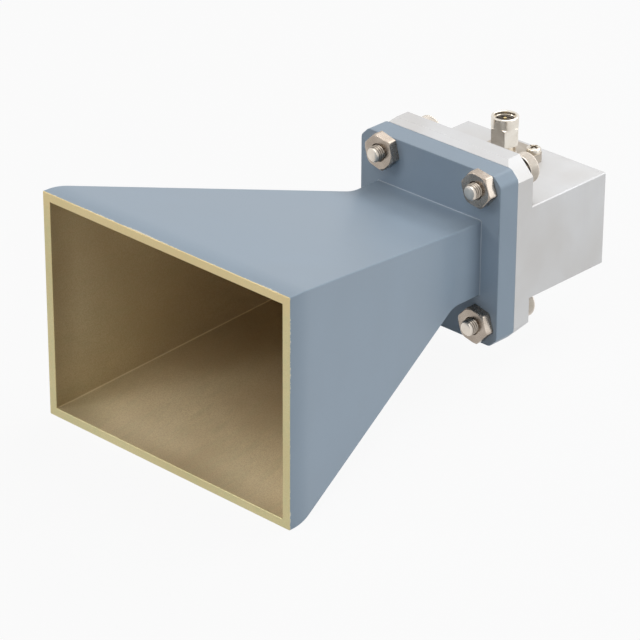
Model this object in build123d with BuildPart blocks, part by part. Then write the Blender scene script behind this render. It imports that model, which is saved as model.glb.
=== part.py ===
from build123d import *
import math
import os

os.makedirs("parts", exist_ok=True)

# Pyramidal horn antenna bolted to a waveguide to coaxial adapter, in millimetres.
# X runs across the guide, Y along it, Z up. The mouth of the horn faces minus Y.
# The origin is the centre of the bottom of the whole object's box.

# Horn mouth
mouth_width = 93.7
mouth_height = 68.8
mouth_wall = 2.65
lip_length = 5.0
lip_blend = 26.0

# Horn throat and the length of the horn in front of its flange
throat_width = 40.0
throat_height = 23.5
throat_length = 11.0
throat_blend = 18.0
horn_length = 105.3
horn_root_fillet = 0.8

# Waveguide bore, shared by the horn and the adapter
guide_width = 34.85
guide_height = 15.8

# Horn flange
flange_width = 53.5
horn_flange_height = 53.5
horn_flange_thickness = 7.6
horn_flange_chamfer = 2.7
horn_flange_soft_edge = 0.9

# Adapter flange
adapter_flange_height = 56.8
adapter_flange_thickness = 6.4
adapter_flange_chamfer = 5.4
adapter_front_bevel = 1.6
adapter_edge_bevel = 0.3

# Adapter block behind the flange
block_length = 32.9
block_rise = 13.7
block_drop = 15.5
block_back_wall = 4.4

# Flange screws, nuts and lock washers
bolt_pitch_x = 37.2
bolt_pitch_z = 42.6
bolt_shift_x = 1.55
bolt_shift_z = 1.0
bolt_diameter = 4.83
bolt_hole_clearance = 0.25
bolt_tip_length = 2.7
head_diameter = 9.2
head_length = 4.3
socket_flats = 4.0
socket_depth = 2.4
lock_washer_diameter = 8.4
lock_washer_thickness = 1.2
lock_washer_gap = 0.1
lock_washer_slit = 0.7
lock_washer_slit_turn = 35.0
nut_flats = 9.9
nut_thickness = 3.3
nut_chamfer_width = 0.8
nut_chamfer_depth = 0.45
nut_turn = 48.5
thread_gap = 0.05

# Coaxial connector on top of the block
connector_station = 24.8
plate_side = 17.0
plate_thickness = 2.9
plate_corner_radius = 2.4
hub_diameter = 6.8
hub_height = 2.5
neck_diameter = 5.6
neck_height = 4.4
contact_ring_diameter = 4.6
contact_ring_height = 1.2
line_bore_diameter = 4.1
slip_gap = 0.01

# Small screws that hold the connector plate
plate_screw_pitch = 12.2
plate_screw_diameter = 2.18
plate_screw_length = 5.2
plate_screw_head_diameter = 4.4
plate_screw_head_height = 1.5
plate_hole_clearance = 0.12
plate_screw_spare_depth = 0.5
cross_width = 0.55
cross_length = 2.3
cross_depth = 0.8

# Centre contact with its probe
pin_diameter = 0.92
pin_projection = 2.6
line_diameter = 1.27
probe_diameter = 2.4
probe_length = 9.0

# Coupling nut, its retaining ring and its gasket
coupling_flats = 7.94
coupling_lift = 0.2
coupling_hex_length = 5.6
coupling_barrel_length = 3.2
coupling_barrel_diameter = 8.2
coupling_mouth_diameter = 6.4
coupling_mouth_depth = 1.1
coupling_mouth_chamfer = 0.3
coupling_corner_chamfer = 0.4
coupling_turn = -49.5
coupling_running_gap = 0.08
ring_groove_depth = 0.35
ring_width = 0.62
ring_thickness = 0.6
ring_rise = 1.2
ring_slit = 0.8
gasket_thickness = 0.9

# Places worked out from the sizes above
axis_height = mouth_height / 2
adapter_length = adapter_flange_thickness + block_length
total_length = horn_length + horn_flange_thickness + adapter_length
mouth_y = -total_length / 2
flange_front_y = mouth_y + horn_length
joint_y = flange_front_y + horn_flange_thickness
flange_back_y = joint_y + adapter_flange_thickness
back_y = joint_y + adapter_length
guide_end_y = back_y - block_back_wall
connector_y = joint_y + connector_station
block_top_z = axis_height + block_rise
plate_top_z = block_top_z + plate_thickness
hub_top_z = plate_top_z + hub_height
neck_top_z = hub_top_z + neck_height
contact_plane_z = neck_top_z + contact_ring_height
guide_ceiling_z = axis_height + guide_height / 2
coupling_bottom_z = hub_top_z + coupling_lift
coupling_barrel_z = coupling_bottom_z + coupling_hex_length
coupling_top_z = coupling_barrel_z + coupling_barrel_length
ring_z = hub_top_z + ring_rise
bolt_radius = bolt_diameter / 2
bolt_hole_radius = bolt_radius + bolt_hole_clearance
flange_stack = horn_flange_thickness + adapter_flange_thickness
hexagon_corner = 1 / math.cos(math.pi / 6)
nut_corner_radius = nut_flats / 2 * hexagon_corner
coupling_corner_radius = coupling_flats / 2 * hexagon_corner
neck_radius = neck_diameter / 2
coupling_bore_radius = neck_radius + coupling_running_gap
ring_seat_radius = neck_radius - ring_groove_depth
ring_outer_radius = ring_seat_radius + ring_width
line_bore_radius = line_bore_diameter / 2
plate_screw_radius = plate_screw_diameter / 2
plate_screw_hole_depth = plate_screw_length - plate_thickness + plate_screw_spare_depth


def facing_mouth(y):
    """Plane across the guide at y. Its own y axis is up, and its normal points to the mouth."""
    return Plane(origin=(0, y, axis_height), x_dir=(1, 0, 0), z_dir=(0, -1, 0))


def level(z):
    """Horizontal plane at height z, centred on the connector's axis."""
    return Plane(origin=(0, connector_y, z), x_dir=(1, 0, 0), z_dir=(0, 0, 1))


def flare_profile(throat, mouth, start):
    """Closed outline of the flare in one view: straight throat, soft bends, flare and lip."""
    half = FilletPolyline(
        (start, throat / 2),
        (flange_front_y - throat_length, throat / 2),
        (mouth_y + lip_length, mouth / 2),
        (mouth_y, mouth / 2),
        radius=[throat_blend, lip_blend],
    )
    mirror(half, about=Plane.XZ)
    Line((start, throat / 2), (start, -throat / 2))
    Line((mouth_y, mouth / 2), (mouth_y, -mouth / 2))


# The flare is what its plan and its side view have in common
plan_view = Plane(origin=(0, 0, axis_height), x_dir=(0, 1, 0), z_dir=(0, 0, 1))
side_view = Plane(origin=(0, 0, axis_height), x_dir=(0, 1, 0), z_dir=(1, 0, 0))

with BuildPart() as bore:
    with BuildSketch(plan_view):
        with BuildLine():
            flare_profile(guide_width, mouth_width - 2 * mouth_wall, joint_y)
        make_face()
    extrude(amount=mouth_height, both=True)
    with BuildSketch(side_view):
        with BuildLine():
            flare_profile(guide_height, mouth_height - 2 * mouth_wall, joint_y)
        make_face()
    extrude(amount=mouth_width, both=True, mode=Mode.INTERSECT)

with BuildPart() as horn:
    with BuildSketch(plan_view):
        with BuildLine():
            flare_profile(throat_width, mouth_width, flange_front_y)
        make_face()
    extrude(amount=mouth_height, both=True)
    with BuildSketch(side_view):
        with BuildLine():
            flare_profile(throat_height, mouth_height, flange_front_y)
        make_face()
    extrude(amount=mouth_width, both=True, mode=Mode.INTERSECT)
    with BuildSketch(facing_mouth(joint_y)):
        outline = Rectangle(flange_width, horn_flange_height)
        chamfer(outline.vertices(), length=horn_flange_chamfer)
    extrude(amount=horn_flange_thickness)
    flange_face = faces().filter_by(Axis.Y).sort_by(Axis.Y)[1]
    fillet(flange_face.outer_wire().edges(), radius=horn_flange_soft_edge)
    flange_face = faces().filter_by(Axis.Y).sort_by(Axis.Y)[1]
    fillet(flange_face.inner_wires().edges(), radius=horn_root_fillet)
    with BuildSketch(facing_mouth(joint_y)):
        with Locations((bolt_shift_x, bolt_shift_z)):
            with GridLocations(bolt_pitch_x, bolt_pitch_z, 2, 2):
                Circle(bolt_hole_radius)
    extrude(amount=horn_flange_thickness, mode=Mode.SUBTRACT)
    add(bore.part, mode=Mode.SUBTRACT)
horn.part.label = "horn"
export_step(horn.part, "parts/horn.step")

# Adapter: flange and block in one piece, with a shorted guide inside
with BuildPart() as adapter_body:
    with BuildSketch(facing_mouth(joint_y)):
        outline = Rectangle(flange_width, adapter_flange_height)
        chamfer(outline.vertices(), length=adapter_flange_chamfer)
    extrude(amount=-adapter_flange_thickness)
    front_edges = faces().sort_by(Axis.Y)[0].edges()
    chamfer(front_edges.filter_by(Axis.X), length=adapter_front_bevel)
    with BuildSketch(facing_mouth(joint_y)):
        with Locations((0, (block_rise - block_drop) / 2)):
            Rectangle(flange_width, block_rise + block_drop)
    extrude(amount=-adapter_length)
    back_edges = faces().sort_by(Axis.Y)[-1].edges()
    long_edges = edges().filter_by(Axis.Y).filter_by(lambda edge: edge.length > adapter_flange_thickness)
    chamfer(back_edges + long_edges, length=adapter_edge_bevel)
    with BuildSketch(facing_mouth(joint_y)):
        Rectangle(guide_width, guide_height)
    extrude(amount=-(adapter_length - block_back_wall), mode=Mode.SUBTRACT)
    with BuildSketch(facing_mouth(joint_y)):
        with Locations((bolt_shift_x, bolt_shift_z)):
            with GridLocations(bolt_pitch_x, bolt_pitch_z, 2, 2):
                Circle(bolt_hole_radius)
    extrude(amount=-adapter_flange_thickness, mode=Mode.SUBTRACT)
    with BuildSketch(level(axis_height)):
        Circle(line_bore_radius + slip_gap)
    extrude(amount=block_rise, mode=Mode.SUBTRACT)
    with BuildSketch(level(block_top_z)):
        with GridLocations(plate_screw_pitch, plate_screw_pitch, 2, 2):
            Circle(plate_screw_radius + thread_gap)
    extrude(amount=-plate_screw_hole_depth, mode=Mode.SUBTRACT)
adapter_body.part.label = "adapter_body"
export_step(adapter_body.part, "parts/adapter_body.step")

# One flange screw, head down on its own base plane, then the four in place
with BuildPart() as screw:
    with BuildSketch(Plane.XY):
        Circle(head_diameter / 2)
    extrude(amount=-head_length)
    with BuildSketch(Plane.XY.offset(-head_length)):
        RegularPolygon(radius=socket_flats / 2, side_count=6, major_radius=False)
    extrude(amount=socket_depth, mode=Mode.SUBTRACT)
    with BuildSketch(Plane.XY):
        Circle(bolt_radius)
    extrude(amount=lock_washer_thickness + flange_stack + nut_thickness + bolt_tip_length)

with BuildPart(facing_mouth(flange_back_y + lock_washer_thickness)) as flange_screws:
    with Locations((bolt_shift_x, bolt_shift_z)):
        with GridLocations(bolt_pitch_x, bolt_pitch_z, 2, 2):
            add(screw.part)
flange_screws.part.label = "flange_screws"
export_step(flange_screws.part, "parts/flange_screws.step")

# Split lock washers under the screw heads
with BuildPart() as washer:
    with BuildSketch(Plane.XY):
        Circle(lock_washer_diameter / 2)
        Circle(bolt_radius + lock_washer_gap, mode=Mode.SUBTRACT)
        with Locations(Rotation(0, 0, lock_washer_slit_turn) * Pos(lock_washer_diameter / 2, 0)):
            Rectangle(lock_washer_diameter, lock_washer_slit, mode=Mode.SUBTRACT)
    extrude(amount=lock_washer_thickness)

with BuildPart(facing_mouth(flange_back_y + lock_washer_thickness)) as lock_washers:
    with Locations((bolt_shift_x, bolt_shift_z)):
        with GridLocations(bolt_pitch_x, bolt_pitch_z, 2, 2):
            add(washer.part)
lock_washers.part.label = "lock_washers"
export_step(lock_washers.part, "parts/lock_washers.step")

# Hexagon nuts on the horn's side, chamfered in front
with BuildPart() as nut:
    with BuildSketch(Plane.XY):
        RegularPolygon(radius=nut_flats / 2, side_count=6, major_radius=False, rotation=nut_turn)
    extrude(amount=nut_thickness)
    with BuildSketch(Plane.XZ):
        with BuildLine():
            Polyline(
                (0, 0),
                (nut_corner_radius, 0),
                (nut_corner_radius, nut_thickness - nut_chamfer_depth),
                (nut_corner_radius - nut_chamfer_width, nut_thickness),
                (0, nut_thickness),
                close=True,
            )
        make_face()
    revolve(axis=Axis.Z, mode=Mode.INTERSECT)
    with BuildSketch(Plane.XY):
        Circle(bolt_radius + thread_gap)
    extrude(amount=nut_thickness, mode=Mode.SUBTRACT)

with BuildPart(facing_mouth(flange_front_y)) as flange_nuts:
    with Locations((bolt_shift_x, bolt_shift_z)):
        with GridLocations(bolt_pitch_x, bolt_pitch_z, 2, 2):
            add(nut.part)
flange_nuts.part.label = "flange_nuts"
export_step(flange_nuts.part, "parts/flange_nuts.step")

# Connector body: square plate, hub, neck with ring groove, contact ring
with BuildPart() as connector_body:
    with BuildSketch(level(block_top_z)):
        RectangleRounded(plate_side, plate_side, plate_corner_radius)
        with GridLocations(plate_screw_pitch, plate_screw_pitch, 2, 2):
            Circle(plate_screw_radius + plate_hole_clearance, mode=Mode.SUBTRACT)
    extrude(amount=plate_thickness)
    with BuildSketch(level(plate_top_z)):
        Circle(hub_diameter / 2)
    extrude(amount=hub_height)
    with BuildSketch(level(hub_top_z)):
        Circle(neck_radius)
    extrude(amount=neck_height)
    with BuildSketch(level(neck_top_z)):
        Circle(contact_ring_diameter / 2)
    extrude(amount=contact_ring_height)
    with BuildSketch(level(ring_z)):
        Circle(neck_radius)
        Circle(ring_seat_radius, mode=Mode.SUBTRACT)
    extrude(amount=ring_thickness, mode=Mode.SUBTRACT)
    with BuildSketch(level(block_top_z)):
        Circle(line_bore_radius + slip_gap)
    extrude(amount=contact_plane_z - block_top_z, mode=Mode.SUBTRACT)
connector_body.part.label = "connector_body"
export_step(connector_body.part, "parts/connector_body.step")

# One plate screw standing on its own base plane, then the four in place
with BuildPart() as plate_screw:
    with BuildSketch(Plane.XY):
        Circle(plate_screw_head_diameter / 2)
    extrude(amount=plate_screw_head_height)
    with BuildSketch(Plane.XY.offset(plate_screw_head_height)):
        Rectangle(cross_length, cross_width)
        Rectangle(cross_width, cross_length)
    extrude(amount=-cross_depth, mode=Mode.SUBTRACT)
    with BuildSketch(Plane.XY):
        Circle(plate_screw_radius)
    extrude(amount=-plate_screw_length)

with BuildPart(level(plate_top_z)) as connector_screws:
    with GridLocations(plate_screw_pitch, plate_screw_pitch, 2, 2):
        add(plate_screw.part)
connector_screws.part.label = "connector_screws"
export_step(connector_screws.part, "parts/connector_screws.step")

# Insulator of the coaxial line, from the guide's ceiling to the contact plane
with BuildPart() as connector_insulator:
    with BuildSketch(level(guide_ceiling_z)):
        Circle(line_bore_radius)
        Circle(line_diameter / 2 + slip_gap, mode=Mode.SUBTRACT)
    extrude(amount=contact_plane_z - guide_ceiling_z)
connector_insulator.part.label = "connector_insulator"
export_step(connector_insulator.part, "parts/connector_insulator.step")

# Centre contact: pin, line and the probe that hangs into the guide
with BuildPart() as centre_contact:
    with BuildSketch(level(guide_ceiling_z)):
        Circle(line_diameter / 2)
    extrude(amount=contact_plane_z - guide_ceiling_z)
    with BuildSketch(level(contact_plane_z)):
        Circle(pin_diameter / 2)
    extrude(amount=pin_projection)
    with BuildSketch(level(guide_ceiling_z)):
        Circle(probe_diameter / 2)
    extrude(amount=-probe_length)
centre_contact.part.label = "centre_contact"
export_step(centre_contact.part, "parts/centre_contact.step")

# Coupling nut: hexagon below, round barrel above, grooved inside for the ring
with BuildPart() as coupling_nut:
    with BuildSketch(level(coupling_bottom_z)):
        RegularPolygon(radius=coupling_flats / 2, side_count=6, major_radius=False, rotation=coupling_turn)
    extrude(amount=coupling_hex_length)
    with BuildSketch(Plane.XZ.offset(-connector_y)):
        with BuildLine():
            Polyline(
                (0, coupling_bottom_z),
                (coupling_corner_radius - coupling_corner_chamfer, coupling_bottom_z),
                (coupling_corner_radius, coupling_bottom_z + coupling_corner_chamfer),
                (coupling_corner_radius, coupling_barrel_z - coupling_corner_chamfer),
                (coupling_corner_radius - coupling_corner_chamfer, coupling_barrel_z),
                (0, coupling_barrel_z),
                close=True,
            )
        make_face()
    revolve(axis=Axis(origin=(0, connector_y, 0), direction=(0, 0, 1)), mode=Mode.INTERSECT)
    with BuildSketch(level(coupling_barrel_z)):
        Circle(coupling_barrel_diameter / 2)
    extrude(amount=coupling_barrel_length)
    with BuildSketch(level(coupling_bottom_z)):
        Circle(coupling_bore_radius)
    extrude(amount=coupling_top_z - coupling_bottom_z, mode=Mode.SUBTRACT)
    with BuildSketch(level(coupling_top_z)):
        Circle(coupling_mouth_diameter / 2)
    extrude(amount=-coupling_mouth_depth, mode=Mode.SUBTRACT)
    chamfer(edges().group_by(Axis.Z)[-1], length=coupling_mouth_chamfer)
    with BuildSketch(level(ring_z - coupling_running_gap)):
        Circle(ring_outer_radius + coupling_running_gap)
    extrude(amount=ring_thickness + 2 * coupling_running_gap, mode=Mode.SUBTRACT)
coupling_nut.part.label = "coupling_nut"
export_step(coupling_nut.part, "parts/coupling_nut.step")

# Split ring that keeps the coupling nut on the neck
with BuildPart() as retaining_ring:
    with BuildSketch(level(ring_z)):
        Circle(ring_outer_radius)
        Circle(ring_seat_radius, mode=Mode.SUBTRACT)
        with Locations((ring_outer_radius, 0)):
            Rectangle(ring_outer_radius, ring_slit, mode=Mode.SUBTRACT)
    extrude(amount=ring_thickness)
retaining_ring.part.label = "retaining_ring"
export_step(retaining_ring.part, "parts/retaining_ring.step")

# Gasket round the contact ring, on the neck's shoulder
with BuildPart() as sealing_gasket:
    with BuildSketch(level(neck_top_z)):
        Circle(neck_radius)
        Circle(contact_ring_diameter / 2, mode=Mode.SUBTRACT)
    extrude(amount=gasket_thickness)
sealing_gasket.part.label = "sealing_gasket"
export_step(sealing_gasket.part, "parts/sealing_gasket.step")
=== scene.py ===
import math

import bpy
import numpy as np
from mathutils import Matrix, Vector


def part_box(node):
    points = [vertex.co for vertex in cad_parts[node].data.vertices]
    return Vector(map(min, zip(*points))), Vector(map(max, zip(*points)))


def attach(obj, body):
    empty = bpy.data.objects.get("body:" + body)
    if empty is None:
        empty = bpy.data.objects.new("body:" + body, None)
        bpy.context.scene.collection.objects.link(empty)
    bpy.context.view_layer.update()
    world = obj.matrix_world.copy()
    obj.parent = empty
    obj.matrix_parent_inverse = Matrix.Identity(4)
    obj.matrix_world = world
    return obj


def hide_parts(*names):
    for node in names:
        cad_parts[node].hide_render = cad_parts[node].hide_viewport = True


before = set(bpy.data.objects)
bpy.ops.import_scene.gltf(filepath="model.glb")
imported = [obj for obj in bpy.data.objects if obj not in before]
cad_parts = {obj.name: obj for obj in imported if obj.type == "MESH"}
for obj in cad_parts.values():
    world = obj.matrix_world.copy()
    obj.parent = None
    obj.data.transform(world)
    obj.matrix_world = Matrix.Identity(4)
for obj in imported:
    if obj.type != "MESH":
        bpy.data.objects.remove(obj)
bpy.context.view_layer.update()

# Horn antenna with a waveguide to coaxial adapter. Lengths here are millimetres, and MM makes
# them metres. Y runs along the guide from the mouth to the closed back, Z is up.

MM = 0.001


def corners(node):
    """Lowest and highest corner of a CAD node, in millimetres."""
    low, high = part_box(node)
    return np.array(low) / MM, np.array(high) / MM


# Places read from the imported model
horn_low, horn_high = corners("horn")
screws_low, screws_high = corners("flange_screws")
nuts_low, nuts_high = corners("flange_nuts")
washers_high = corners("lock_washers")[1]
connector_low, connector_high = corners("connector_body")
coupling_low, coupling_high = corners("coupling_nut")
MOUTH_Y = horn_low[1]
JOINT_Y = horn_high[1]
AXIS_Z = (horn_low[2] + horn_high[2]) / 2
PLUG_Y = (connector_low[1] + connector_high[1]) / 2

# Horn, as in the part's source but with crisper edges
MOUTH_WIDTH = horn_high[0] - horn_low[0]
MOUTH_HEIGHT = horn_high[2] - horn_low[2]
MOUTH_WALL = 2.65
LIP_LENGTH = 5.0
LIP_BLEND = 26.0
THROAT_WIDTH = 40.0
THROAT_HEIGHT = 23.5
THROAT_LENGTH = 11.0
THROAT_BLEND = 18.0
GUIDE_WIDTH = 34.85
GUIDE_HEIGHT = 15.8
FLANGE_SIDE = 53.5
FLANGE_THICKNESS = 7.6
FLANGE_CHAMFER = 2.7
FLANGE_BEND = 2.0
FLANGE_ROUND = 0.3
FLANGE_BACK_EDGE = 0.05
ROOT_ROUND = 0.26
RIDGE_ROUND = 0.32
RIDGE_GROWTH = 0.2
CORNER_ROUND = 0.14
RIM_ROUND = 0.25
PAINT_START = 0.5
HORN_LENGTH = JOINT_Y - FLANGE_THICKNESS - MOUTH_Y

# Material numbers of the horn's rows of faces
OUTSIDE, INSIDE, RIM = 0, 1, 2

# Flange screws and nuts
HEAD_DIAMETER = 9.2
HEAD_CHAMFER = 0.35
HEAD_BACK_EDGE = 0.2
SOCKET_FLATS = 4.0
SOCKET_TURN = 30
SOCKET_DEPTH = 2.4
SOCKET_EDGE = 0.15
KNURL_DEPTH = 0.24
KNURL_TEETH = 34
KNURL_ROWS = 5.5
KNURL_MARGIN = 0.3
SCREW_DIAMETER = 4.83
SCREW_PITCH = 0.79
SCREW_TIP_CHAMFER = 0.5
THREAD_DEPTH = 0.34
THREAD_LEAD = 1.2
UNDERCUT_LENGTH = 0.5
UNDERCUT_RADIUS = 3.3
TIP_DOME = 0.3
NUT_FLATS = 9.9
NUT_TURN = 48.5
NUT_TWISTS = (2.0, -3.0, -1.0, 2.0)
NUT_REACH = 9.0
NUT_CHAMFER_WIDTH = 0.8
NUT_CHAMFER_DEPTH = 0.45
NUT_EDGE = 0.16
NUT_BORE_CHAMFER = 0.3
NUT_BORE_GAP = 0.05

# Coaxial connector
PLATE_SIDE = 17.0
PLATE_THICKNESS = 2.9
PLATE_CORNER = 2.4
PLATE_EDGE_STEPS = ((0.0, 0.2), (0.06, 0.06), (0.2, 0.0))
HUB_DIAMETER = 6.8
HUB_HEIGHT = 2.5
HUB_FILLET = 0.25
HUB_EDGE = 0.15
NECK_DIAMETER = 5.6
NECK_HEIGHT = 4.4
SLEEVE_DIAMETER = 4.6
SLEEVE_EDGE = 0.08
LINE_BORE_DIAMETER = 4.1
PLATE_SCREW_PITCH = 12.2
PLATE_SCREW_HEAD = 4.4
PLATE_SCREW_HEIGHT = 1.5
PLATE_SCREW_EDGE = 0.55
PLATE_SCREW_SIDE = 0.75
PLATE_SCREW_DOME = 0.2
PLATE_SCREW_SHANK = 1.0
PLATE_SCREW_REACH = 1.5
CROSS_WIDTH = 0.8
CROSS_LENGTH = 2.8
CROSS_DEPTH = 0.9
CROSS_SLOPE = 0.08
COUPLING_FLATS = 7.94
COUPLING_TURN = -49.5
COUPLING_HEX = 5.6
COUPLING_CHAMFER = 0.4
COUPLING_BARREL = 8.2
COUPLING_EDGE = 0.3
COUPLING_MOUTH = 6.4
COUPLING_MOUTH_DEPTH = 1.1
COUPLING_BORE = 5.76
COUPLING_PITCH = 0.705
COUPLING_THREAD_DEPTH = 0.25
COUPLING_THREAD_END = 3.6

# How finely the surfaces are cut, and the small gaps that keep their points apart
AROUND = 240
BEND_MARGIN = 6
QUARTER_STEPS = 7
EDGE_SHARE = 0.004
PINHOLE = 0.05
SEAM = 0.02


# Surfaces

def ring_of(half_x, half_z, corner, cut=0.0, corner_steps=8, side_steps=6):
    """Outline of a box with soft corners, as an array of points (x, z) going anticlockwise.
    Each corner is an arc of radius `corner`. With a cut, it is a 45 degree chamfer of that
    length whose two bends are arcs of that radius. Straight sides are evenly divided, apart from a
    short piece next to each corner, where a value that belongs to the corner fades out."""
    turn = np.linspace(0, math.pi / 2, 2 * corner_steps)
    bend = corner * math.tan(math.pi / 8) if cut else 0.0
    first = np.arange(2 * corner_steps) < corner_steps
    centre_x = np.where(first, half_x - corner, half_x - (cut + bend if cut else corner))
    centre_z = np.where(first, half_z - (cut + bend if cut else corner), half_z - corner)
    quarter = np.stack([centre_x + corner * np.cos(turn), centre_z + corner * np.sin(turn)], 1)
    points = []
    for sign_x, sign_z, order in ((1, 1, 1), (-1, 1, -1), (-1, -1, 1), (1, -1, -1)):
        points.append(quarter[::order] * (sign_x, sign_z))
    outline = []
    for here, after in zip(points, points[1:] + points[:1]):
        share = np.linspace(0, 1, side_steps + 1)
        share[[0, -1]] = EDGE_SHARE, 1 - EDGE_SHARE
        share = np.sort(share)[:, None]
        outline += [here, here[-1] * (1 - share) + after[0] * share]
    return np.concatenate(outline)


def corner_share(corner_steps=8, side_steps=6):
    """1 on the corner arcs of ring_of's outline and 0 on its straight sides, point by point."""
    quarter = np.concatenate([np.ones(2 * corner_steps), np.zeros(side_steps + 1)])
    return np.tile(quarter, 4)


def hexagon(angle, flats, turn, sharpness):
    """Distance from the centre to a hexagon's side at each angle: half the flats over the cosine of
    the angle from the nearest side's middle, blended near a corner into a circle just inside it.
    The higher the sharpness, the shorter the blend."""
    from_side = np.mod(angle - math.radians(turn), math.pi / 3) - math.pi / 6
    side = flats / 2 / np.cos(from_side)
    tip = flats / 2 / math.cos(math.pi / 6) * 0.995
    return (side ** -sharpness + tip ** -sharpness) ** (-1 / sharpness)


def make_mesh(name, sheets, body, materials, hides=(), crease=38.0):
    """Joins sheets into one object. A sheet is (points, bands, closed, cap, groove): points are rings
    of points in an array (rings, around, 3) in millimetres, each ring is closed round, bands give the
    material of each row of faces, closed joins the last ring to the first, cap closes the ends, and
    groove is a value from 0 to 1 at each point, from which the finishes draw painted shade in threads,
    knurl and recesses and painted highlight lines along edges. Edges that turn by more than the crease
    angle stay sharp."""
    vertices, faces, marks, grooves = [], [], [], []
    start = 0
    for points, bands, closed, cap, groove in sheets:
        rings, around = points.shape[:2]
        index = start + np.arange(rings * around).reshape(rings, around)
        low = index if closed else index[:-1]
        high = np.roll(index, -1, 0) if closed else index[1:]
        quads = np.stack([low, np.roll(low, -1, 1), np.roll(high, -1, 1), high], -1).reshape(-1, 4)
        faces += quads.tolist()
        marks += np.repeat(bands[:len(low)], around).tolist()
        if cap:
            faces += [index[0][::-1].tolist(), index[-1].tolist()]
            marks += [bands[0], bands[len(low) - 1]]
        vertices.append(points.reshape(-1, 3) * MM)
        grooves.append(np.broadcast_to(groove, (rings, around)).ravel())
        start += rings * around
    mesh = bpy.data.meshes.new(name)
    mesh.from_pydata(np.concatenate(vertices).tolist(), [], faces)
    mesh.polygons.foreach_set("material_index", marks)
    for material in materials:
        mesh.materials.append(material)
    mesh.polygons.foreach_set("use_smooth", [True] * len(faces))
    mesh.attributes.new("groove", "FLOAT", "POINT").data.foreach_set("value", np.concatenate(grooves))
    mesh.update()
    mesh.set_sharp_from_angle(angle=math.radians(crease))
    piece = bpy.data.objects.new(name, mesh)
    piece.modifiers.new("flat_faces", "WEIGHTED_NORMAL").keep_sharp = True
    bpy.context.scene.collection.objects.link(piece)
    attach(piece, body)
    if hides:
        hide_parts(*hides)
    return piece


def turned(profile, around=AROUND, shape=None, centre=(0.0, 0.0, 0.0), axis="Z", turn=0.0):
    """Surface of revolution as rings of points: each (radius, height) of the profile carried
    round the axis. `shape(angle, height, radius)` may change the radius from angle to angle."""
    angle = np.linspace(0, 2 * math.pi, around, endpoint=False)[None, :] + math.radians(turn)
    radius, height = np.array(profile, float).T
    radius = np.repeat(radius[:, None], around, 1)
    if shape is not None:
        radius = shape(angle, height[:, None], radius)
    level = np.repeat(height[:, None], around, 1)
    flat_x, flat_y = radius * np.cos(angle), radius * np.sin(angle)
    # an axis towards the mouth has X to the right and Z up when it is looked at from the mouth
    if axis == "Z":
        points = np.stack([flat_x, flat_y, level], -1)
    else:
        points = np.stack([flat_x, -level, flat_y], -1)
    return points + np.array(centre)


# Finishes

def colour(code):
    """Linear colour of an sRGB hex code."""
    parts = np.array([int(code[i:i + 2], 16) for i in (1, 3, 5)]) / 255
    linear = np.where(parts <= 0.04045, parts / 12.92, ((parts + 0.055) / 1.055) ** 2.4)
    return (*linear.tolist(), 1.0)


class Nodes:
    """Short way to write a node tree: add a node, set its inputs, and link outputs to inputs."""

    def __init__(self, tree):
        self.tree = tree

    def add(self, kind, inputs=None, **settings):
        node = self.tree.nodes.new(kind)
        for key, value in settings.items():
            setattr(node, key, value)
        for key, value in (inputs or {}).items():
            socket = node.inputs[key]
            if isinstance(value, bpy.types.NodeSocket):
                self.tree.links.new(value, socket)
            else:
                socket.default_value = value
        return node

    def math(self, operation, first, second=0.0):
        return self.add("ShaderNodeMath", {0: first, 1: second}, operation=operation).outputs[0]

    def mix(self, factor, first, second):
        """From the first colour to the second as the factor goes from 0 to 1."""
        return self.add("ShaderNodeMix", {0: factor, 6: first, 7: second}, data_type="RGBA").outputs[2]

    def ramp(self, value, low, high, to_low=0.0, to_high=1.0):
        """Smooth step that takes low..high of a value to to_low..to_high."""
        return self.add("ShaderNodeMapRange", {0: value, 1: low, 2: high, 3: to_low, 4: to_high},
                        interpolation_type="SMOOTHSTEP").outputs[0]

    def noise(self, vector, scale, detail=3.0, roughness=0.55, distortion=0.0):
        return self.add("ShaderNodeTexNoise", {"Vector": vector, "Scale": scale, "Detail": detail,
                        "Roughness": roughness, "Distortion": distortion}).outputs[0]


def group(name, inputs, outputs, fill):
    """Node group with float or vector inputs and outputs; fill(nodes, in_sockets) gives its outputs."""
    tree = bpy.data.node_groups.new(name, "ShaderNodeTree")
    for label, kind, value in inputs:
        socket = tree.interface.new_socket(label, in_out="INPUT", socket_type=kind)
        if value is not None:
            socket.default_value = value
    for label, kind in outputs:
        tree.interface.new_socket(label, in_out="OUTPUT", socket_type=kind)
    nodes = Nodes(tree)
    source = nodes.add("NodeGroupInput")
    sink = nodes.add("NodeGroupOutput")
    for label, socket in fill(nodes, source.outputs).items():
        tree.links.new(socket, sink.inputs[label])
    return tree


def stretched_noise(nodes, sockets):
    """Noise stretched along one direction, for tool marks and brushing."""
    scaled = nodes.add("ShaderNodeVectorMath", {0: sockets["Vector"], 1: sockets["Stretch"]},
                       operation="MULTIPLY").outputs[0]
    fine = nodes.noise(scaled, 1.0, 4.0, 0.6)
    broad = nodes.noise(scaled, 0.23, 2.0)
    both = nodes.math("ADD", nodes.math("MULTIPLY", fine, 0.65), nodes.math("MULTIPLY", broad, 0.35))
    return {"Value": both}


def grain_field(nodes, sockets):
    """Fine grain with slow clouds under it, for cast, blasted or painted surfaces."""
    fine = nodes.noise(sockets["Vector"], sockets["Scale"], 5.0, 0.65)
    slow = nodes.noise(sockets["Vector"], sockets["Cloud scale"], 3.0, 0.5, 0.4)
    return {"Grain": fine, "Clouds": slow}


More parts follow.
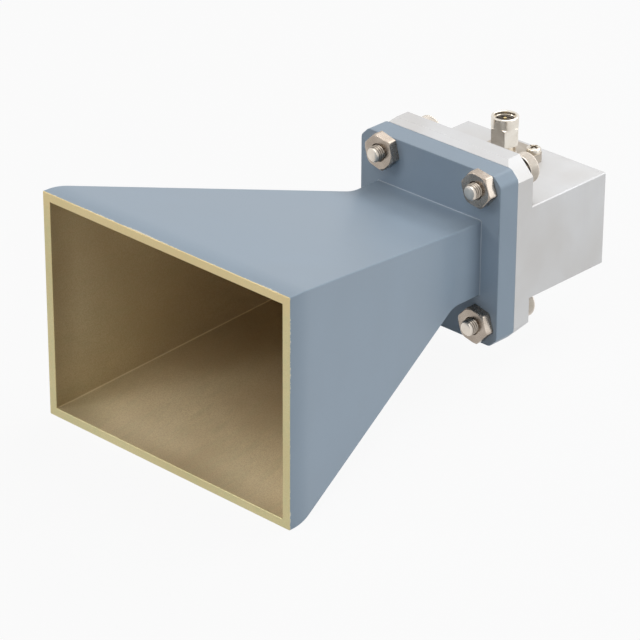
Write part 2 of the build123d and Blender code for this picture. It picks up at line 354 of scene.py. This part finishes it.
def wear_field(nodes, sockets):
    """Mask that is 1 where an edge is rubbed or chipped: noise passes a limit that sinks as the
    distance from the edge gets small."""
    broken = nodes.noise(sockets["Vector"], sockets["Scale"], 4.0, 0.7)
    patches = nodes.noise(sockets["Vector"], sockets["Patch scale"], 2.0)
    near = nodes.ramp(sockets["Edge distance"], 0.0, sockets["Reach"], 1.0, 0.0)
    score = nodes.math("MULTIPLY", nodes.math("ADD", broken, patches), near)
    limit = nodes.math("SUBTRACT", 2.0, sockets["Amount"])
    return {"Mask": nodes.ramp(score, limit, nodes.math("ADD", limit, 0.08))}


FLOAT, VECTOR = "NodeSocketFloat", "NodeSocketVector"
tool_marks = group("tool_marks", [("Vector", VECTOR, None), ("Stretch", VECTOR, (1.0, 1.0, 1.0))],
                   [("Value", FLOAT)], stretched_noise)
grain = group("grain", [("Vector", VECTOR, None), ("Scale", FLOAT, 900.0),
                        ("Cloud scale", FLOAT, 30.0)],
              [("Grain", FLOAT), ("Clouds", FLOAT)], grain_field)
wear = group("edge_wear", [("Vector", VECTOR, None), ("Edge distance", FLOAT, 1.0),
                           ("Reach", FLOAT, 0.001), ("Scale", FLOAT, 900.0),
                           ("Patch scale", FLOAT, 60.0), ("Amount", FLOAT, 1.0)],
             [("Mask", FLOAT)], wear_field)


class Finish(Nodes):
    """A material with its Principled shader, its place in object space, the groove value of the
    piece's points, and ways to use the groups. Underscores in names stand for spaces."""

    def __init__(self, name, **constants):
        material = bpy.data.materials.new(name)
        material.use_nodes = True
        super().__init__(material.node_tree)
        self.material = material
        self.shader = self.tree.nodes["Principled BSDF"]
        self.place = self.add("ShaderNodeTexCoord").outputs["Object"]
        self.groove = self.add("ShaderNodeAttribute", attribute_name="groove").outputs["Fac"]
        for key, value in constants.items():
            self.shader.inputs[key.replace("_", " ")].default_value = value

    def use(self, tree, **inputs):
        node = self.add("ShaderNodeGroup", node_tree=tree)
        self.tree.links.new(self.place, node.inputs["Vector"])
        for key, value in inputs.items():
            socket = node.inputs[key.replace("_", " ")]
            if isinstance(value, bpy.types.NodeSocket):
                self.tree.links.new(value, socket)
            else:
                socket.default_value = value
        return node.outputs

    def feed(self, **sockets):
        for key, socket in sockets.items():
            self.tree.links.new(socket, self.shader.inputs[key.replace("_", " ")])
        return self.material

    def bump(self, height, distance, strength=1.0):
        node = self.add("ShaderNodeBump", {"Height": height, "Distance": distance, "Strength": strength})
        self.tree.links.new(node.outputs[0], self.shader.inputs["Normal"])


def blue_paint():
    """Semi-gloss blue-grey paint over cast metal: slight clouds, a fine grain, a painted highlight
    along the flange's root, and chips by the mouth's rim that show the pale metal."""
    look = Finish("blue_paint", Specular_IOR_Level=0.3, Coat_Weight=0.06, Coat_Roughness=0.25)
    fields = look.use(grain, Scale=1500.0, Cloud_scale=22.0)
    position = look.add("ShaderNodeSeparateXYZ", {0: look.place}).outputs
    rim_distance = look.math("SUBTRACT", position[1], MOUTH_Y * MM)
    chips = look.use(wear, Edge_distance=rim_distance, Reach=0.0022, Scale=900.0,
                     Patch_scale=55.0, Amount=1.0)["Mask"]
    base = look.mix(look.ramp(fields["Clouds"], 0.3, 0.7), colour("#A4B4C3"), colour("#AABAC9"))
    base = look.mix(look.ramp(fields["Grain"], 0.25, 0.75, 0.0, 0.12), base, colour("#9AABBD"))
    # painted highlight along the flange's root, drawn from the groove value
    base = look.mix(look.math("MULTIPLY", look.groove, 0.8), base, colour("#D2DBE4"))
    base = look.mix(chips, base, colour("#F1ECDF"))
    look.bump(fields["Grain"], 0.00002, 0.5)
    return look.feed(Base_Color=base, Roughness=look.ramp(fields["Clouds"], 0.3, 0.7, 0.38, 0.46))


# Where the inside's colour changes: the painted shade that deepens inwards from the mouth, the darker
# olive tone towards the left wall, and the warmer tone towards the top
DEEP_FROM, DEEP_TO = MOUTH_Y + 6, MOUTH_Y + 55
LEFT_FROM, LEFT_TO = -24, -44
WARM_FROM, WARM_TO = AXIS_Z + 22, AXIS_Z + 34


def chromate(name, light, dark, green, roughness, warmth=0.0, metallic=0.3, olive=0.0):
    """Yellow chromate on cast aluminium: tan to green clouds, streaks along the guide, fine speckle
    and a satin sheen. It gets browner and darker from the mouth inwards, which is painted shade of
    the horn's depth, darker and more olive towards the left wall, and warmer towards the top. The
    inner corners carry a thin light line, which is a painted highlight."""
    look = Finish(name, Metallic=metallic)
    fields = look.use(grain, Scale=2600.0, Cloud_scale=26.0)
    streaks = look.use(tool_marks, Stretch=(500.0, 60.0, 500.0))["Value"]
    base = look.mix(look.ramp(fields["Clouds"], 0.3, 0.7, 0.0, 0.55), colour(light), colour(dark))
    base = look.mix(look.ramp(streaks, 0.42, 0.7, 0.0, 0.5), base, colour(green))
    base = look.mix(look.ramp(fields["Grain"], 0.35, 0.65, 0.0, 0.45), base, colour(dark))
    place = look.add("ShaderNodeSeparateXYZ", {0: look.place}).outputs
    # painted shade: the inside darkens and browns inwards from the mouth
    depth_shade = look.ramp(place[1], DEEP_FROM * MM, DEEP_TO * MM, 0.0, 0.62)
    base = look.mix(depth_shade, base, colour("#86704F"))
    left = look.ramp(place[0], LEFT_FROM * MM, LEFT_TO * MM, 0.0, 0.42)
    base = look.mix(look.math("MULTIPLY", left, olive), base, colour("#8A7B50"))
    # painted highlight along the inner corners, drawn from the groove value
    base = look.mix(look.math("MULTIPLY", look.groove, 0.7), base, colour("#F0E0BE"))
    warm = look.ramp(place[2], WARM_FROM * MM, WARM_TO * MM, 0.0, warmth)
    base = look.mix(warm, base, colour("#F2D6A0"))
    look.bump(fields["Grain"], 0.00005, 0.7)
    rough = look.ramp(fields["Grain"], 0.3, 0.7, roughness, roughness + 0.12)
    return look.feed(Base_Color=base, Roughness=rough)


def milled_aluminium():
    """Bare satin aluminium: faint upright tool marks on the sides, marks across on the faces that
    look up or down, and soft stains."""
    look = Finish("milled_aluminium", Metallic=0.9)
    fields = look.use(grain, Scale=2600.0, Cloud_scale=30.0)
    upright = look.use(tool_marks, Stretch=(4200.0, 4200.0, 90.0))["Value"]
    across = look.use(tool_marks, Stretch=(90.0, 4200.0, 4200.0))["Value"]
    normal = look.add("ShaderNodeSeparateXYZ",
                      {0: look.add("ShaderNodeTexCoord").outputs["Normal"]}).outputs
    facing_up = look.ramp(look.math("ABSOLUTE", normal[2]), 0.6, 0.9)
    marks = look.add("ShaderNodeMix", {0: facing_up, 2: upright, 3: across}).outputs[0]
    base = look.mix(look.ramp(marks, 0.3, 0.7), colour("#CACACB"), colour("#CECECE"))
    base = look.mix(look.ramp(fields["Clouds"], 0.4, 0.75, 0.0, 0.6), base, colour("#BEBAB6"))
    look.bump(marks, 0.00001, 0.3)
    return look.feed(Base_Color=base, Roughness=look.ramp(marks, 0.3, 0.7, 0.46, 0.54))


def small_part(name, light, dark, roughness, spread=0.1, metallic=1.0, groove_shade=0.6):
    """Finish of a small part, plated, stainless or moulded: small stains between two tones, painted
    shade in its grooves and recesses, and a roughness that varies with a fine grain."""
    look = Finish(name, Metallic=metallic)
    fields = look.use(grain, Scale=1000.0, Cloud_scale=160.0)
    base = look.mix(look.ramp(fields["Clouds"], 0.3, 0.7), colour(light), colour(dark))
    # painted shade in threads, knurl and recesses, drawn from the groove value
    base = look.mix(look.math("MULTIPLY", look.groove, groove_shade), base, colour("#2E2A26"))
    look.bump(fields["Grain"], 0.00001, 0.05)
    rough = look.ramp(fields["Grain"], 0.3, 0.7, roughness, roughness + spread)
    return look.feed(Base_Color=base, Roughness=rough)


paint = blue_paint()
# The inside's chromate is paler than the rim's, painted light on the floor by the mouth, and its painted
# shade darkens it inwards
chromate_inside = chromate("chromate_inside", "#FFEFC9", "#D0B690", "#E2DAB2", 0.5, olive=1.0)
chromate_rim = chromate("chromate_rim", "#E4D9A8", "#D2C18E", "#CDD09E", 0.36, 0.5, 0.6)
aluminium = milled_aluminium()
nut_metal = small_part("nut_metal", "#BAAEA2", "#A4988C", 0.24, 0.06)
screw_metal = small_part("screw_metal", "#EAE1D6", "#DAD0C3", 0.3, 0.06, groove_shade=0.62)
# darker than the heads: painted shade of the screws' threads and of the nuts' bores
thread_metal_painted_shade = small_part("thread_metal_painted_shade", "#CABFB2", "#B3A89B", 0.26, 0.08, groove_shade=0.9)
# dark tone is painted shade inside the coupling nut's mouth
bore_painted_shade = small_part("bore_painted_shade", "#8A8178", "#746B62", 0.42, groove_shade=0.85)
# dark tone is painted shade of the gap under the screw heads
washer_painted_shade = small_part("washer_painted_shade", "#4A4641", "#35322F", 0.4)
connector_metal = small_part("connector_metal", "#EAE4DA", "#DED6CA", 0.17, 0.05)
plate_metal = small_part("plate_metal", "#B9B0A4", "#A99F92", 0.3, 0.08)
gold = small_part("gold_plate", "#F0DCA6", "#E6CB8A", 0.24)
white_plastic = small_part("white_plastic", "#EFEFEA", "#E2E2DC", 0.5, metallic=0.0)
gasket_rubber = small_part("gasket_rubber", "#8F4636", "#7A3A2C", 0.6, metallic=0.0)


# Horn

def flare_half(distance, throat, mouth):
    """Half size of the flare at each distance from the flange: straight, an arc bending outwards, a
    straight slope, an arc bending back, and a straight lip. Both arcs touch the lines next to them."""
    far = HORN_LENGTH - LIP_LENGTH
    slope = math.atan2((mouth - throat) / 2, far - THROAT_LENGTH)
    first = THROAT_LENGTH - THROAT_BLEND * math.tan(slope / 2)
    second = far + LIP_BLEND * math.tan(slope / 2)
    past_first = THROAT_BLEND ** 2 - (distance - first) ** 2
    past_second = LIP_BLEND ** 2 - (distance - second) ** 2
    arc_out = throat / 2 + THROAT_BLEND - np.sqrt(np.maximum(past_first, 0))
    arc_back = mouth / 2 - LIP_BLEND + np.sqrt(np.maximum(past_second, 0))
    line = throat / 2 + math.tan(slope) * (distance - THROAT_LENGTH)
    return np.select(
        [distance < first, distance < first + THROAT_BLEND * math.sin(slope),
         distance < second - LIP_BLEND * math.sin(slope), distance < second],
        [throat / 2, arc_out, line, arc_back], mouth / 2)


def horn_surface():
    """The horn as one closed surface: outlines carried from the joint through the bore to the mouth,
    over the rim, back along the outside, and over the flange to the joint again. Each outline is a
    box with soft corners whose half sizes come from flare_half, and the edges are quarter arcs."""
    near = np.linspace(0, THROAT_LENGTH + BEND_MARGIN, 18)
    far = np.linspace(HORN_LENGTH - LIP_LENGTH - BEND_MARGIN, HORN_LENGTH, 16)
    middle = np.linspace(near[-1], far[0], 14)[1:-1]
    stations = np.concatenate([near, middle, far])
    outline, bands, lines = [], [], []
    # corner_lines marks the inner corners for the chromate's painted highlight line
    corner_lines = corner_share()

    def put(half_x, half_z, y, corner, band, cut=0.0, line=0.0):
        flat = ring_of(half_x, half_z, corner, cut)
        outline.append(np.stack([flat[:, 0], np.full(len(flat), y), flat[:, 1] + AXIS_Z], 1))
        bands.append(band)
        lines.append(corner_lines if band == INSIDE else np.full(len(flat), line))

    inner_width, inner_height = MOUTH_WIDTH - 2 * MOUTH_WALL, MOUTH_HEIGHT - 2 * MOUTH_WALL
    flange_y = JOINT_Y - FLANGE_THICKNESS
    quarter = np.linspace(0, math.pi / 2, QUARTER_STEPS)

    # the bore, from the joint to the mouth
    put(GUIDE_WIDTH / 2, GUIDE_HEIGHT / 2, JOINT_Y, CORNER_ROUND, INSIDE)
    for step in stations[:-1]:
        put(flare_half(step, GUIDE_WIDTH, inner_width), flare_half(step, GUIDE_HEIGHT, inner_height),
            flange_y - step, CORNER_ROUND, INSIDE)
    # over the rim, where the paint starts a little way round the outer edge
    for turn in quarter:
        grow, y = RIM_ROUND * (1 - math.cos(turn)), MOUTH_Y + RIM_ROUND * (1 - math.sin(turn))
        put(inner_width / 2 + grow, inner_height / 2 + grow, y, CORNER_ROUND + grow, RIM)
    for turn in quarter[::-1]:
        grow, y = RIM_ROUND * (1 - math.cos(turn)), MOUTH_Y + RIM_ROUND * (1 - math.sin(turn))
        put(MOUTH_WIDTH / 2 - grow, MOUTH_HEIGHT / 2 - grow, y, RIDGE_ROUND,
            RIM if turn > PAINT_START else OUTSIDE)
    # back along the flare, into the root and over the flange's front edge to the joint
    for step in stations[::-1][1:-1]:
        if step > ROOT_ROUND:
            put(flare_half(step, THROAT_WIDTH, MOUTH_WIDTH),
                flare_half(step, THROAT_HEIGHT, MOUTH_HEIGHT), flange_y - step,
                RIDGE_ROUND + RIDGE_GROWTH * (1 - step / HORN_LENGTH), OUTSIDE)
    # the root's rings carry the groove value for the paint's painted highlight line
    for turn in quarter:
        grow, y = ROOT_ROUND * (1 - math.cos(turn)), flange_y - ROOT_ROUND * (1 - math.sin(turn))
        put(THROAT_WIDTH / 2 + grow, THROAT_HEIGHT / 2 + grow, y,
            RIDGE_ROUND + RIDGE_GROWTH + grow, OUTSIDE, line=math.sin(2 * turn))
    half = FLANGE_SIDE / 2
    for turn in quarter[::-1]:
        shrink, y = FLANGE_ROUND * (1 - math.cos(turn)), flange_y + FLANGE_ROUND * (1 - math.sin(turn))
        put(half - shrink, half - shrink, y, FLANGE_BEND, OUTSIDE, FLANGE_CHAMFER - shrink)
    put(half, half, JOINT_Y - FLANGE_BACK_EDGE, FLANGE_BEND, OUTSIDE, FLANGE_CHAMFER)
    put(half - FLANGE_BACK_EDGE, half - FLANGE_BACK_EDGE, JOINT_Y, FLANGE_BEND, OUTSIDE, FLANGE_CHAMFER)
    return np.array(outline), bands, np.array(lines)


points, bands, lines = horn_surface()
make_mesh("horn_shell", [(points[:, ::-1], bands, True, False, lines[:, ::-1])],
          "adapter", [paint, chromate_inside, chromate_rim], ["horn"])


# Flange screws, with knurled heads and cut threads

def thread_wave(angle, height, pitch):
    """Height of a helical thread between 0 at its root and 1 at its crest: a zigzag along the axis,
    one tooth a pitch, that moves on by one pitch with each turn."""
    phase = height / pitch - angle / (2 * math.pi)
    return 1 - np.abs(2 * np.mod(phase, 1.0) - 1)


def knurl_wave(angle, height, top, rows, teeth):
    """Diamond knurl: at each point the lower of two sets of ridges that climb round the head in
    opposite directions, 0 in their grooves and 1 where both are high."""
    climb = 2 * math.pi * rows * height / top
    left = np.abs(np.sin((teeth * angle + climb) / 2))
    right = np.abs(np.sin((teeth * angle - climb) / 2))
    return np.minimum(left, right)


HEAD_LENGTH = screws_high[1] - washers_high[1]
SCREW_END = screws_high[1] - screws_low[1]


def screw_rings(centre):
    """One screw as a closed turned surface, from the middle of its socket over the head and along
    the shank to the threaded tip. The profile is turned about the screw's axis. Inside the socket
    the radius follows a hexagon, on the head's side the knurl is cut out of it, and at the tip the
    thread. Heights count from the head's outer end towards the mouth."""
    head, socket = HEAD_DIAMETER / 2, SOCKET_FLATS / 2
    back = HEAD_LENGTH - UNDERCUT_LENGTH
    grooves = []
    rows = np.linspace(HEAD_CHAMFER + KNURL_MARGIN, back - KNURL_MARGIN, 34)
    tip_start = screws_high[1] - nuts_low[1] - THREAD_LEAD
    tip = np.linspace(tip_start, SCREW_END - SCREW_TIP_CHAMFER - TIP_DOME, 46)
    profile = [(PINHOLE, SOCKET_DEPTH), (socket, SOCKET_DEPTH), (socket, SOCKET_EDGE),
               (socket + SOCKET_EDGE, 0.0)]
    socket_rows = len(profile)
    profile += [(head - HEAD_CHAMFER - 0.1, 0.0), (head - HEAD_CHAMFER, 0.04),
                (head - 0.06, HEAD_CHAMFER), (head, HEAD_CHAMFER + 0.15)]
    profile += [(head, row) for row in rows]
    profile += [(head, back - HEAD_BACK_EDGE), (head - HEAD_BACK_EDGE, back), (UNDERCUT_RADIUS, back),
                (UNDERCUT_RADIUS, HEAD_LENGTH), (SCREW_DIAMETER / 2, HEAD_LENGTH)]
    profile += [(SCREW_DIAMETER / 2, step) for step in tip]
    reach = SCREW_DIAMETER / 2 - SCREW_TIP_CHAMFER
    profile += [(reach * math.cos(turn) + PINHOLE, SCREW_END - TIP_DOME * (1 - math.sin(turn)))
                for turn in np.linspace(0, math.pi / 2, 6)]

    def shape(angle, height, radius):
        sides = hexagon(angle, SOCKET_FLATS, SOCKET_TURN, 200)
        inner = np.arange(len(profile))[:, None] < socket_rows
        radius = np.where(inner & (radius > PINHOLE), sides + (radius - socket), radius)
        grip = (np.abs(radius - head) < 1e-6) & (height >= rows[0]) & (height <= rows[-1])
        wave = knurl_wave(angle, height - rows[0], rows[-1] - rows[0], KNURL_ROWS, KNURL_TEETH)
        cut = KNURL_DEPTH * (1 - wave)
        radius = np.where(grip, radius - cut, radius)
        threaded = (height >= tip_start) & (height <= tip[-1])
        depth = THREAD_DEPTH * (1 - thread_wave(angle, height, SCREW_PITCH))
        hollow = np.where(grip, cut / KNURL_DEPTH, np.where(threaded, depth / THREAD_DEPTH, 0.0))
        grooves.append(hollow)
        return np.where(threaded, radius - depth, radius)

    x, z = centre
    rings = turned(profile, AROUND, shape, (x, screws_high[1], z), "Y")
    # the threaded tip takes the darker thread finish, painted shade of its threads
    bands = [1 if tip_start <= height < tip[-1] else 0 for _, height in profile]
    return rings, bands, False, True, grooves[0]


SCREW_X = (screws_low[0] + HEAD_DIAMETER / 2, screws_high[0] - HEAD_DIAMETER / 2)
SCREW_Z = (screws_low[2] + HEAD_DIAMETER / 2, screws_high[2] - HEAD_DIAMETER / 2)
places = [(x, z) for x in SCREW_X for z in SCREW_Z]
make_mesh("knurled_screws", [screw_rings(place) for place in places], "adapter",
          [screw_metal, thread_metal_painted_shade], ["flange_screws"], 25.0)


# Hexagon nuts

def nut_rings(centre, twist):
    """One nut as a closed surface: its outer rows reach past the corners and are brought in to the
    smaller of a soft hexagon and a cone that cuts the front corners. The bore has a chamfer at the
    front and the threads' darker finish, which is painted shade of the bore. Heights count from the
    joint's side towards the mouth."""
    thick = nuts_high[1] - nuts_low[1]
    face = NUT_FLATS / 2 / math.cos(math.pi / 6) - NUT_CHAMFER_WIDTH
    bore = SCREW_DIAMETER / 2 + NUT_BORE_GAP
    front = np.linspace(thick - NUT_CHAMFER_DEPTH - 0.1, thick, 14)
    profile = [(bore, 0.0), (NUT_REACH, 0.0), (NUT_REACH, NUT_EDGE)]
    profile += [(NUT_REACH, level) for level in front]
    bands = [0] * len(profile) + [1] * 3
    profile += [(bore + NUT_BORE_CHAMFER, thick), (bore, thick - NUT_BORE_CHAMFER), (bore, SEAM)]

    def shape(angle, height, radius):
        side = hexagon(angle, NUT_FLATS, NUT_TURN + twist, 70)
        side = side - np.maximum(NUT_EDGE - height, 0) - np.maximum(height - thick + NUT_EDGE, 0)
        limit = face + (thick - height) * NUT_CHAMFER_WIDTH / NUT_CHAMFER_DEPTH
        return np.where(radius == NUT_REACH, np.minimum(side, limit), np.minimum(radius, side - SEAM))

    x, z = centre
    rings = turned(profile, AROUND, shape, (x, nuts_high[1], z), "Y", NUT_TURN + twist)
    return rings, bands, True, False, 0.0


make_mesh("hexagon_nuts", [nut_rings(place, twist) for place, twist in zip(places, NUT_TWISTS)],
          "adapter", [nut_metal, thread_metal_painted_shade], ["flange_nuts"], 20.0)


# Coaxial connector

def connector_rings():
    """Plate, hub, neck and contact sleeve in one closed surface: squares with soft corners up the
    plate, then circles up the hub, neck and sleeve and down the bore, point for point in the same
    directions from the middle."""
    half, low, tip = PLATE_SIDE / 2, connector_low[2], connector_high[2]
    top, hub = low + PLATE_THICKNESS, low + PLATE_THICKNESS + HUB_HEIGHT
    neck = hub + NECK_HEIGHT
    rings = []

    def square(size, corner, z):
        flat = ring_of(size, size, corner, corner_steps=10, side_steps=12)
        rings.append(np.stack([flat[:, 0], flat[:, 1] + PLUG_Y, np.full(len(flat), z)], 1))

    square(half, PLATE_CORNER, low)
    for inset, drop in PLATE_EDGE_STEPS:
        square(half - inset, PLATE_CORNER, top - drop)
    plate_rows, count = len(rings), len(rings[0])
    angle = np.arctan2(rings[0][:, 1] - PLUG_Y, rings[0][:, 0])
    hub_radius, neck_radius, sleeve_radius = HUB_DIAMETER / 2, NECK_DIAMETER / 2, SLEEVE_DIAMETER / 2
    bore = LINE_BORE_DIAMETER / 2 + SEAM / 2
    for radius, z in ((hub_radius + HUB_FILLET, top), (hub_radius, top + HUB_FILLET),
                      (hub_radius, hub - HUB_EDGE), (hub_radius - HUB_EDGE, hub), (neck_radius, hub),
                      (neck_radius, neck), (sleeve_radius, neck), (sleeve_radius, tip - SLEEVE_EDGE),
                      (sleeve_radius - SLEEVE_EDGE, tip), (bore, tip), (bore, low)):
        rings.append(np.stack([radius * np.cos(angle), radius * np.sin(angle) + PLUG_Y,
                               np.full(count, z)], 1))
    bands = [0] * plate_rows + [1] * (len(rings) - plate_rows)
    return np.array(rings), bands, True, False, 0.0


make_mesh("connector_shell", [connector_rings()], "adapter",
          [plate_metal, connector_metal], ["connector_body"])


def pan_head_rings(centre):
    """Small screw as a closed turned surface: a shank, a side, a quarter arc for the edge and a
    shallow dome that falls with the square of the radius. Within the two arms of the cross the dome
    sinks by the recess's depth, with a short slope at their sides."""
    head, tall, edge = PLATE_SCREW_HEAD / 2, PLATE_SCREW_HEIGHT, PLATE_SCREW_EDGE
    profile = [(PLATE_SCREW_SHANK, -PLATE_SCREW_REACH), (PLATE_SCREW_SHANK, 0.0), (head, 0.0)]
    profile += [(head - edge * (1 - math.cos(turn)), tall - PLATE_SCREW_SIDE + edge * math.sin(turn))
                for turn in np.linspace(0, math.pi / 2, 6)]
    dome_start = len(profile)
    profile += [(radius, tall - PLATE_SCREW_DOME * (radius / head) ** 2)
                for radius in np.linspace(SEAM, head - edge, 34)[::-1]]
    x, y = centre
    rings = turned(profile, AROUND // 2, None, (x, y, connector_low[2] + PLATE_THICKNESS))
    off_x, off_y = np.abs(rings[..., 0] - x), np.abs(rings[..., 1] - y)

    def arm(across, along):
        """1 within one arm of the cross and 0 outside it."""
        return np.minimum(np.clip((CROSS_WIDTH / 2 - across) / CROSS_SLOPE + 0.5, 0, 1),
                          np.clip((CROSS_LENGTH / 2 - along) / CROSS_SLOPE + 0.5, 0, 1))

    dome = np.arange(len(rings))[:, None] >= dome_start
    cross = np.where(dome, np.maximum(arm(off_x, off_y), arm(off_y, off_x)), 0)
    rings[..., 2] -= CROSS_DEPTH * cross
    return rings, [0] * len(rings), False, True, cross


half_pitch = PLATE_SCREW_PITCH / 2
plate_places = [(x, PLUG_Y + y) for x in (-half_pitch, half_pitch) for y in (-half_pitch, half_pitch)]
make_mesh("pan_head_screws", [pan_head_rings(place) for place in plate_places],
          "adapter", [connector_metal], ["connector_screws"])


def coupling_rings():
    """Coupling nut as a closed surface: a hexagon whose corners are cut by a cone at both ends, a
    step to the round barrel, a soft rim, and a thread that winds down inside the mouth. The profile
    is turned about the plug's axis, and up to the step the radius is the smaller of the cone's and
    the hexagon's."""
    low, top = coupling_low[2], coupling_high[2]
    step = low + COUPLING_HEX
    chamfer, edge = COUPLING_CHAMFER, COUPLING_EDGE
    face = COUPLING_FLATS / 2 / math.cos(math.pi / 6) - chamfer
    barrel, bore, mouth = COUPLING_BARREL / 2, COUPLING_BORE / 2, COUPLING_MOUTH / 2
    mouth_floor = top - COUPLING_MOUTH_DEPTH
    grooves = []
    profile = [(bore, low), (face, low)]
    cut = np.linspace(0, 1, 14)
    profile += [(face + chamfer * share, low + chamfer * share) for share in cut[1:]]
    profile += [(face + chamfer * share, step - chamfer * share) for share in cut[::-1]]
    profile += [(barrel, step + SEAM), (barrel, step + edge), (barrel, top - edge),
                (barrel - 0.09, top - 0.09), (barrel - edge, top), (mouth + edge, top),
                (mouth + 0.06, top - 0.12), (mouth, top - edge), (mouth, mouth_floor)]
    outside = len(profile)
    profile.append((bore + SEAM, mouth_floor))
    threads = np.linspace(mouth_floor - SEAM, top - COUPLING_THREAD_END, 40)
    profile += [(bore, level) for level in threads] + [(bore, low + SEAM / 2)]

    def shape(angle, height, radius):
        side = hexagon(angle, COUPLING_FLATS, COUPLING_TURN, 120)
        radius = np.where(height <= step, np.minimum(radius, side), radius)
        inside = (np.abs(radius - bore) < 1e-6) & (height > threads[-1] - 0.01)
        wave = np.where(inside, thread_wave(angle, height, COUPLING_PITCH), 0)
        grooves.append(wave)
        return radius + COUPLING_THREAD_DEPTH * wave

    rings = turned(profile, AROUND, shape, (0.0, PLUG_Y, 0.0), "Z", COUPLING_TURN)
    return rings, [0] * outside + [1] * (len(rings) - outside), True, False, grooves[0]


# the coupling's inside takes the bore's painted shade
make_mesh("coupling_shell", [coupling_rings()], "coupling",
          [connector_metal, bore_painted_shade], ["coupling_nut"], 20.0)

# Finishes of the CAD nodes that stay
# The lock washers' dark finish is painted shade of the gap under the screw heads
for node, material in (("adapter_body", aluminium), ("lock_washers", washer_painted_shade),
                       ("centre_contact", gold), ("retaining_ring", gold),
                       ("connector_insulator", white_plastic), ("sealing_gasket", gasket_rubber)):
    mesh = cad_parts[node].data
    mesh.materials.clear()
    mesh.materials.append(material)


# Studio

WHITE = (1.0, 1.0, 1.0, 1.0)
FLOOR_REACH = 4.0
FLOOR_TONE = (0.62, 0.62, 0.62, 1.0)
FLOOR_GLOW = 0.93
FILL_TINT = (0.95, 0.97, 1.0, 1.0)
FILL_STRENGTH = 0.05
FOCUS = (0.0, 0.0, 0.03)


def area_light(name, place, target, size, power, tint=(1.0, 1.0, 1.0)):
    """Square soft light at a place, facing a target, all in metres and the power in watts."""
    lamp = bpy.data.lights.new(name, "AREA")
    lamp.shape, lamp.size, lamp.energy, lamp.color = "SQUARE", size, power, tint
    holder = bpy.data.objects.new(name, lamp)
    holder.location = place
    holder.rotation_euler = (Vector(target) - Vector(place)).to_track_quat("-Z", "Y").to_euler()
    bpy.context.scene.collection.objects.link(holder)


area_light("softbox_back", (0.03, 0.72, 1.08), FOCUS, 1.0, 7.1)
area_light("softbox_top_front", (0.0, -0.62, 1.18), FOCUS, 1.0, 4.7)
area_light("softbox_right", (1.12, 0.55, 0.4), FOCUS, 1.0, 6.1, (0.9, 0.96, 1.0))
area_light("softbox_left_front", (-0.75, -0.95, 0.65), FOCUS, 0.26, 2.0)

floor_mesh = bpy.data.meshes.new("floor")
floor_corners = [(x * FLOOR_REACH, y * FLOOR_REACH, 0) for x, y in ((-1, -1), (1, -1), (1, 1), (-1, 1))]
floor_mesh.from_pydata(floor_corners, [], [(0, 1, 2, 3)])
floor = bpy.data.objects.new("floor", floor_mesh)
bpy.context.scene.collection.objects.link(floor)

# The camera, glass and metal see a pale glow from the floor, mixed with its plain diffuse tone, so
# that it keeps the object's shadow
floor_look = bpy.data.materials.new("pale_floor")
floor_look.use_nodes = True
floor_nodes = Nodes(floor_look.node_tree)
floor_look.node_tree.nodes.clear()
ray = floor_nodes.add("ShaderNodeLightPath").outputs
seen = floor_nodes.math("MAXIMUM", ray["Is Camera Ray"], ray["Is Transmission Ray"])
seen = floor_nodes.math("MAXIMUM", seen, ray["Is Glossy Ray"])
diffuse = floor_nodes.add("ShaderNodeBsdfDiffuse", {"Color": FLOOR_TONE}).outputs[0]
glow = floor_nodes.add("ShaderNodeEmission", {"Color": WHITE, "Strength": 1.0}).outputs[0]
share = floor_nodes.math("MULTIPLY", seen, FLOOR_GLOW)
floor_nodes.add("ShaderNodeOutputMaterial",
                {0: floor_nodes.add("ShaderNodeMixShader", {0: share, 1: diffuse, 2: glow}).outputs[0]})
floor_mesh.materials.append(floor_look)

# The camera, glass and metal see a white world, which gives the object only a faint fill light
world = bpy.data.worlds.new("studio")
world.use_nodes = True
bpy.context.scene.world = world
sky = Nodes(world.node_tree)
world.node_tree.nodes.clear()
ray = sky.add("ShaderNodeLightPath").outputs
fill = sky.add("ShaderNodeBackground", {"Color": FILL_TINT, "Strength": FILL_STRENGTH}).outputs[0]
bright = sky.add("ShaderNodeBackground", {"Color": WHITE, "Strength": 1.0}).outputs[0]
seen = sky.math("MAXIMUM", ray["Is Camera Ray"], ray["Is Transmission Ray"])
seen = sky.math("MAXIMUM", seen, ray["Is Glossy Ray"])
sky.add("ShaderNodeOutputWorld",
        {0: sky.add("ShaderNodeMixShader", {0: seen, 1: fill, 2: bright}).outputs[0]})

# Camera at the photograph's angle, in millimetres and degrees
CAMERA_PLACE = (608.9, -690.73 + JOINT_Y, 437.07 + AXIS_Z)
CAMERA_AZIMUTH = 43.653
CAMERA_ELEVATION = 26.897
CAMERA_ROLL = 0.265
CAMERA_LENS = 198.38
CAMERA_SENSOR = 36.0
camera = bpy.data.cameras.new("camera")
camera.lens, camera.sensor_width = CAMERA_LENS, CAMERA_SENSOR
camera.clip_start, camera.clip_end = 0.05, 20.0
holder = bpy.data.objects.new("camera", camera)
aim = (Matrix.Rotation(math.radians(CAMERA_AZIMUTH), 4, "Z")
       @ Matrix.Rotation(math.radians(90 - CAMERA_ELEVATION), 4, "X")
       @ Matrix.Rotation(math.radians(CAMERA_ROLL), 4, "Z"))
holder.matrix_world = Matrix.Translation([value * MM for value in CAMERA_PLACE]) @ aim
bpy.context.scene.collection.objects.link(holder)
bpy.context.scene.camera = holder
bpy.context.scene.view_settings.view_transform = "Standard"
